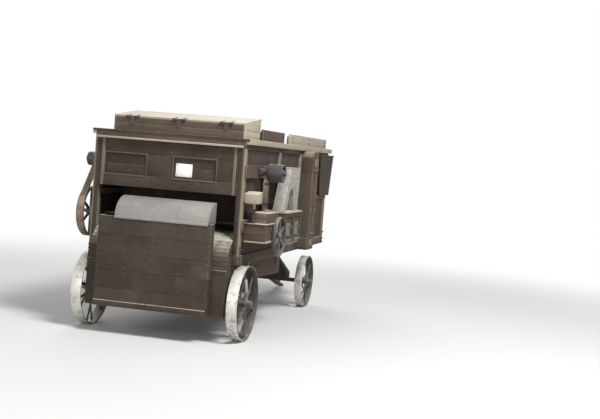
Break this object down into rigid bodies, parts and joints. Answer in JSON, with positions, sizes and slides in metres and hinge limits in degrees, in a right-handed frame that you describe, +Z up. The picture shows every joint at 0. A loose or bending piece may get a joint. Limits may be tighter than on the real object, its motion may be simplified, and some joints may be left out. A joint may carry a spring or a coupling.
{
  "type": "portable threshing machine",
  "caption": "Wooden portable threshing machine on iron wheels, with drum, grain box, pulleys, steered bogie and drawbar.",
  "frame": {"origin": "on the floor under the middle of the whole machine's outline, drawbar included", "axes": "+X the way it is drawn along, toward the drawbar and the straw end; +Y its left side; +Z up"},
  "size_m": [6.7931, 2.8, 2.864],
  "materials": {
    "painted_wood": "old brown paint, dusty and worn",
    "dark_wood": "dark weathered boards",
    "pale_wood": "bare boards, pale with dust",
    "sheet": "dull galvanised sheet",
    "iron": "dark oiled iron",
    "wheel_iron": "worn iron, bright on the treads",
    "belt": "worn flat belt",
    "plate": "blank white plate"
  },
  "bodies": {
    "machine": {"side_frame_right": "painted_wood", "side_frame_left": "painted_wood", "side_boards_right": "dark_wood", "side_boards_left": "dark_wood", "cross_beams": "painted_wood", "deck": "pale_wood", "kick_boards": "painted_wood", "drum_end_panel": "dark_wood", "blank_plate": "plate", "drum_hood": "dark_wood", "feed_chute": "painted_wood", "drum_box_floor": "dark_wood", "inner_wall": "dark_wood", "end_board": "dark_wood", "curved_cover": "sheet", "fan_casing": "dark_wood", "bearings": "iron", "side_box": "pale_wood", "grain_box": "painted_wood", "sack_slides": "sheet", "grain_spout": "sheet", "grain_elevator": "painted_wood", "walker_cover": "dark_wood", "straw_walkers": "pale_wood", "walker_shafts": "iron", "straw_hood": "painted_wood", "floor_boards": "dark_wood", "sieve_shoe": "painted_wood", "shoe_hangers": "pale_wood", "rear_axle": "iron", "axle_plates": "iron", "turntable": "iron", "belts": "belt"},
    "hood_lid": {"hood_lid": "pale_wood"},
    "drum": {"drum": "iron", "drum_pulleys": "iron"},
    "cross_shaft": {"cross_shaft": "iron"},
    "side_pulley": {"side_pulley": "iron"},
    "bogie": {"bogie": "painted_wood", "front_axle": "iron"},
    "drawbar": {"drawbar": "painted_wood"},
    "wheel_rear_right": {"wheel_rear_right": "wheel_iron"},
    "wheel_rear_left": {"wheel_rear_left": "wheel_iron"},
    "wheel_front_right": {"wheel_front_right": "wheel_iron"},
    "wheel_front_left": {"wheel_front_left": "wheel_iron"}
  },
  "joints": [
    {"name": "wheel_rear_right_spin", "type": "hinge", "parent": "machine", "child": "wheel_rear_right", "pos_m": [-2.76662, -1.045, 0.485], "axis": [0, 1, 0], "continuous": true},
    {"name": "wheel_rear_left_spin", "type": "hinge", "parent": "machine", "child": "wheel_rear_left", "pos_m": [-2.76662, 1.045, 0.485], "axis": [0, 1, 0], "continuous": true},
    {"name": "steering", "type": "hinge", "parent": "machine", "child": "bogie", "pos_m": [1.03338, 0, 0.9], "axis": [0, 0, 1], "range_deg": [-35, 35]},
    {"name": "wheel_front_right_spin", "type": "hinge", "parent": "bogie", "child": "wheel_front_right", "pos_m": [1.03338, -0.965, 0.41], "axis": [0, 1, 0], "continuous": true},
    {"name": "wheel_front_left_spin", "type": "hinge", "parent": "bogie", "child": "wheel_front_left", "pos_m": [1.03338, 0.965, 0.41], "axis": [0, 1, 0], "continuous": true},
    {"name": "drawbar_lift", "type": "hinge", "parent": "bogie", "child": "drawbar", "pos_m": [1.65338, 0, 0.52], "axis": [0, -1, 0], "range_deg": [0, 50]},
    {"name": "drum_spin", "type": "hinge", "parent": "machine", "child": "drum", "pos_m": [-2.39662, 0, 2.17], "axis": [0, 1, 0], "continuous": true},
    {"name": "cross_shaft_spin", "type": "hinge", "parent": "machine", "child": "cross_shaft", "pos_m": [-2.66662, 0, 1.48], "axis": [0, 1, 0], "continuous": true},
    {"name": "side_pulley_spin", "type": "hinge", "parent": "machine", "child": "side_pulley", "pos_m": [-2.39662, -1.355, 1.35], "axis": [0, 1, 0], "continuous": true},
    {"name": "hood_lid_hinge", "type": "hinge", "parent": "machine", "child": "hood_lid", "pos_m": [-3.03162, 0, 2.758], "axis": [0, -1, 0], "range_deg": [0, 100]}
  ],
  "couplings": [
    {"joint": "cross_shaft_spin", "follows": "drum_spin", "ratio": 0.33333}
  ]
}
